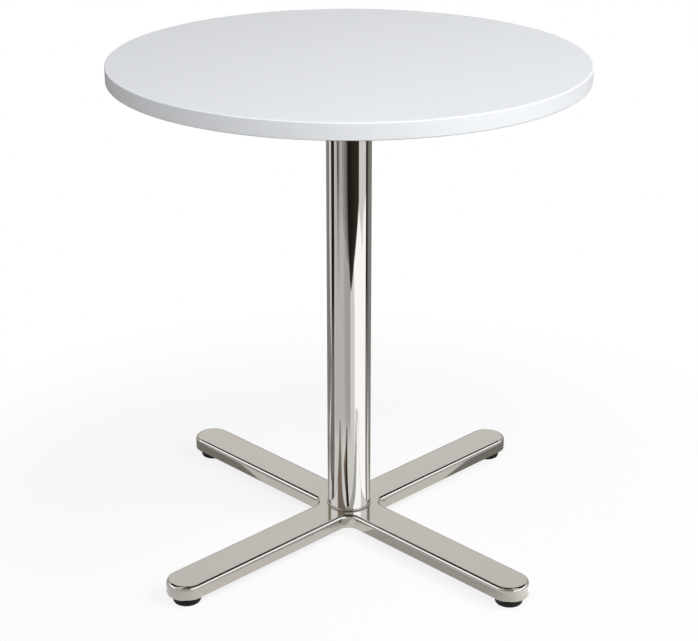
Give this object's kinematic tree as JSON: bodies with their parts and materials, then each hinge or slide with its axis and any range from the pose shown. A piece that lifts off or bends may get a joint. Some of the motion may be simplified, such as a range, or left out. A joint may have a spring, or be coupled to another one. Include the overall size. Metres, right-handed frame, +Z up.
{
  "type": "cafe table",
  "caption": "Round cafe table: white laminated top on a polished tubular column, over a flat X-shaped polished base that stands on black screw-in levelling feet.",
  "frame": {"origin": "on the floor, under the centre of the column", "axes": "+Z up; the legs of the base lie along X and Y"},
  "size_m": [0.7338, 0.7338, 0.76],
  "materials": {
    "white_laminate": "satin",
    "white_edging": "satin",
    "backing_sheet": "matte",
    "board": "matte",
    "polished_column": "polished",
    "polished_base": "polished",
    "black_bracket": "satin",
    "zinc_steel": "satin",
    "black_foot": "matte"
  },
  "bodies": {
    "table": {"top_laminate": "white_laminate", "top_core": "board", "backing_laminate": "backing_sheet", "edge_band": "white_edging", "top_spider": "black_bracket", "spider_screws": "zinc_steel", "column_tube": "polished_column", "tie_rod": "zinc_steel", "rod_top_washer": "zinc_steel", "rod_top_nut": "zinc_steel", "rod_bottom_washer": "zinc_steel", "rod_bottom_nut": "zinc_steel", "base_casting": "polished_base"},
    "front_right_stud": {"front_right_foot_stud": "zinc_steel"},
    "front_right_pad": {"front_right_foot_pad": "black_foot"},
    "back_right_stud": {"back_right_foot_stud": "zinc_steel"},
    "back_right_pad": {"back_right_foot_pad": "black_foot"},
    "back_left_stud": {"back_left_foot_stud": "zinc_steel"},
    "back_left_pad": {"back_left_foot_pad": "black_foot"},
    "front_left_stud": {"front_left_foot_stud": "zinc_steel"},
    "front_left_pad": {"front_left_foot_pad": "black_foot"}
  },
  "joints": [
    {"name": "front_right_foot_rise", "type": "slide", "parent": "table", "child": "front_right_stud", "axis": [0, 0, -1], "range_m": [0, 0.01]},
    {"name": "front_right_foot_turn", "type": "hinge", "parent": "front_right_stud", "child": "front_right_pad", "pos_m": [0.337, 0, 0], "axis": [0, 0, -1], "range_deg": [0, 2880]},
    {"name": "back_right_foot_rise", "type": "slide", "parent": "table", "child": "back_right_stud", "axis": [0, 0, -1], "range_m": [0, 0.01]},
    {"name": "back_right_foot_turn", "type": "hinge", "parent": "back_right_stud", "child": "back_right_pad", "pos_m": [0, 0.337, 0], "axis": [0, 0, -1], "range_deg": [0, 2880]},
    {"name": "back_left_foot_rise", "type": "slide", "parent": "table", "child": "back_left_stud", "axis": [0, 0, -1], "range_m": [0, 0.01]},
    {"name": "back_left_foot_turn", "type": "hinge", "parent": "back_left_stud", "child": "back_left_pad", "pos_m": [-0.337, 0, 0], "axis": [0, 0, -1], "range_deg": [0, 2880]},
    {"name": "front_left_foot_rise", "type": "slide", "parent": "table", "child": "front_left_stud", "axis": [0, 0, -1], "range_m": [0, 0.01]},
    {"name": "front_left_foot_turn", "type": "hinge", "parent": "front_left_stud", "child": "front_left_pad", "pos_m": [0, -0.337, 0], "axis": [0, 0, -1], "range_deg": [0, 2880]}
  ],
  "couplings": [
    {"joint": "front_right_foot_rise", "follows": "front_right_foot_turn", "m_per_rad": 0.00019894},
    {"joint": "back_right_foot_rise", "follows": "back_right_foot_turn", "m_per_rad": 0.00019894},
    {"joint": "back_left_foot_rise", "follows": "back_left_foot_turn", "m_per_rad": 0.00019894},
    {"joint": "front_left_foot_rise", "follows": "front_left_foot_turn", "m_per_rad": 0.00019894}
  ]
}
